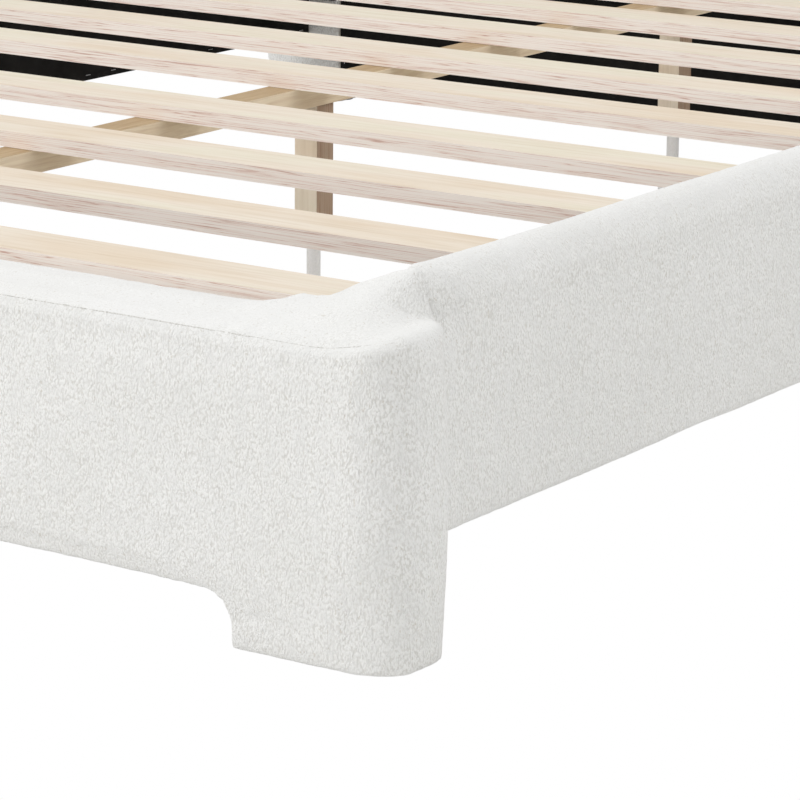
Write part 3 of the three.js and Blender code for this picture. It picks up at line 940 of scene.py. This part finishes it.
def staple_rows(low, high, plane, middle, outward, pitch=55 * MM, inset=7 * MM):
    """Staples along the four edges of a lining."""
    for axis, other in (plane, plane[::-1]):
        run = Vector([1.0 if i == axis else 0.0 for i in range(3)])
        count = max(2, round((high[axis] - low[axis]) / pitch))
        for place in np.linspace(low[axis] + 20 * MM, high[axis] - 20 * MM, count):
            for edge in (low[other] + inset, high[other] - inset):
                at = Vector((0, 0, 0))
                at[axis] = place
                at[other] = edge
                index = ({0, 1, 2} - set(plane)).pop()
                at[index] = middle
                yield at + outward * 0.55 * MM, run, outward


def make_linings(fabric, wire):
    sheets = [
        ("footboard_lining", 1, 1, "footboard_frame"),
        ("headboard_front_lining", 1, -1, "headboard_frame"),
        ("headboard_dust_cover", 1, 1, "headboard_frame"),
        ("side_rail_lining_left", 0, 1, "side_rail_board_left"),
        ("side_rail_lining_right", 0, -1, "side_rail_board_right"),
    ]
    for node, axis, sign, rests_on in sheets:
        placed = lining_sheet(node, node + "_sheet", axis, sign, fabric, rests_on)
        staples(node + "_staples", list(staple_rows(*placed)), wire)


# ---------------------------------------------------------------- hard parts


def soften(piece, width, segments):
    bevel = piece.modifiers.new("soft_edges", "BEVEL")
    bevel.width = width
    bevel.segments = segments
    bevel.limit_method = "ANGLE"
    bevel.angle_limit = math.radians(40)
    bevel.harden_normals = False


def dress(piece, material, width, segments=2):
    piece.data.materials.clear()
    piece.data.materials.append(material)
    soften(piece, width, segments)


def dress_hard_parts(materials):
    rules = [
        ("slat_ledge", "black_steel", 0.4),
        ("slat_", "slat_ply", 0.9),
        ("centre_beam", "beam_pine", 1.0),
        ("centre_leg_stud", "zinc", 0.3),
        ("centre_leg_foot", "white_plastic", 0.8),
        ("centre_leg", "leg_ply", 1.4),
        ("corner_bracket", "black_steel", 0.6),
        ("beam_hanger", "black_steel", 0.5),
        ("corner_bolt", "zinc", 0.5),
        ("glide", "black_plastic", 0.6),
        ("footboard_frame", "beam_pine", 1.0),
        ("headboard_frame", "beam_pine", 1.0),
        ("side_rail_board", "beam_pine", 1.0),
    ]
    for name, piece in sorted(nodes.items()):
        for start, material, width in rules:
            if name.startswith(start):
                dress(piece, materials[material], width * MM)
                break


# ---------------------------------------------------------------- build

make_camera()
make_studio()

boucle = boucle_material()
lining = lining_material()
seam_shade_thread = seam_shade_thread_material()
hard_materials = {
    # The slats' sawn edges get no painted shade; the legs' sawn sides get painted shade that
    # darkens them to about half.
    "slat_ply": veneer_material("slat_ply", SLAT_FACE, "Z", "X", (1, 1, 1)),
    "leg_ply": veneer_material("leg_ply", LEG_FACE, "Y", "Z", (0.48, 0.39, 0.31)),
    "beam_pine": pine_material("beam_pine", (0.92, 0.78, 0.58), (0.74, 0.58, 0.40), "Y"),
    "black_steel": smooth_material("black_steel", (0.018, 0.018, 0.02), 0.0, 0.45, 900.0),
    "zinc": smooth_material("zinc", (0.60, 0.61, 0.63), 1.0, 0.35, 300.0),
    "black_plastic": smooth_material("black_plastic", (0.02, 0.02, 0.02), 0.0, 0.5, 600.0),
    "white_plastic": smooth_material("white_plastic", (1.0, 1.0, 0.995), 0.0, 0.45, 600.0),
}

dress_hard_parts(hard_materials)
make_linings(lining, hard_materials["zinc"])
make_footboard(boucle, seam_shade_thread)
make_headboard(boucle)
for rail_side, rail_sign in (("left", -1), ("right", 1)):
    make_rail(rail_side, rail_sign, boucle)
